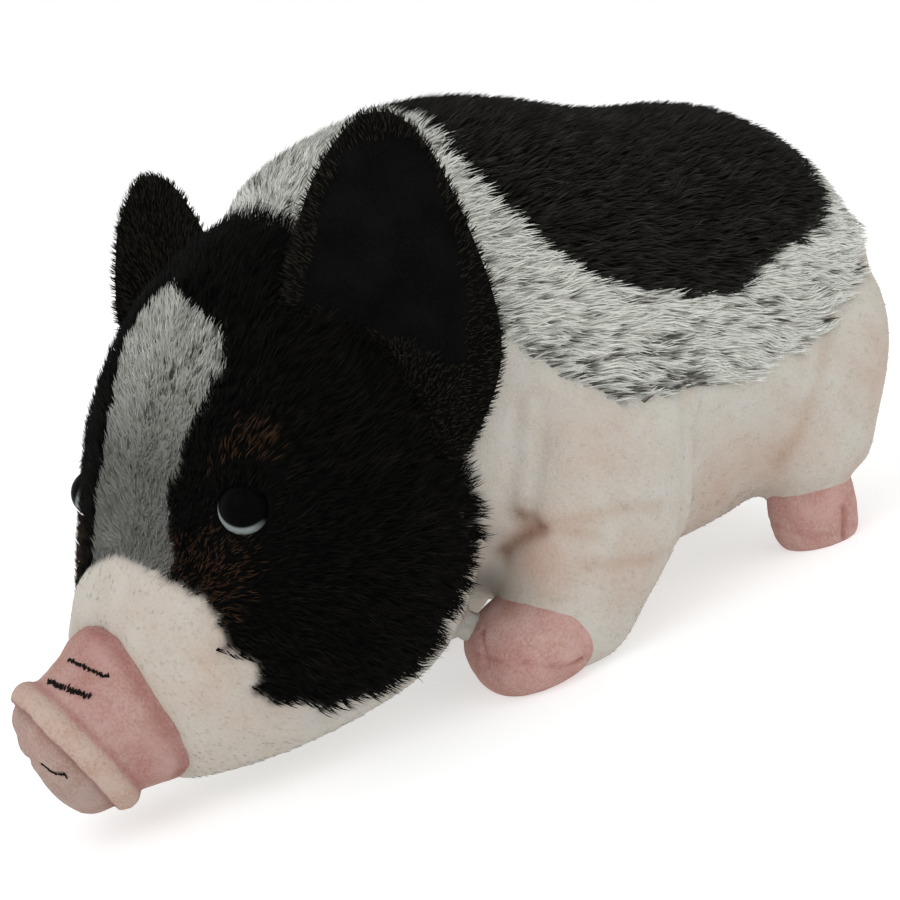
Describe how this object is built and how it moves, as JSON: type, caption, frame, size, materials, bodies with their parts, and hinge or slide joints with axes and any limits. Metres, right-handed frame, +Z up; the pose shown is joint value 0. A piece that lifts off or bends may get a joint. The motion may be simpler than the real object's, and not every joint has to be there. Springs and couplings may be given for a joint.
{
  "type": "plush toy pig",
  "caption": "Stuffed plush toy of a standing pot-bellied pig in black, frosted grey and white plush, with upright ears, a pink suede snout and hooves, and plastic eyes.",
  "frame": {"origin": "middle of the toy's footprint box, on the floor plane under its soles", "axes": "+Z up; the toy faces -Y, with its rump to +Y; its left side is +X"},
  "size_m": [0.1402, 0.2984, 0.1616],
  "materials": {
    "black_plush": "near-black soft pile about 5 mm long",
    "frosted_plush": "black and frosted grey soft pile about 5 mm long",
    "white_plush": "short cream-white pile with a pink-orange tint in the folds",
    "pink_suede": "mottled pink suede cloth, padded",
    "eye_plastic": "glossy black moulded eye"
  },
  "bodies": {
    "root": {"head": "black_plush", "muzzle": "white_plush", "snout": "pink_suede", "snout_pad": "pink_suede", "ear_left": "black_plush", "ear_right": "black_plush", "eye_left": "eye_plastic", "eye_right": "eye_plastic", "neck": "white_plush", "torso": "frosted_plush", "leg_front_left": "white_plush", "leg_front_right": "white_plush", "leg_hind_left": "white_plush", "leg_hind_right": "white_plush", "hoof_front_left": "pink_suede", "hoof_front_right": "pink_suede", "hoof_hind_left": "pink_suede", "hoof_hind_right": "pink_suede", "tail": "white_plush"}
  },
  "joints": []
}
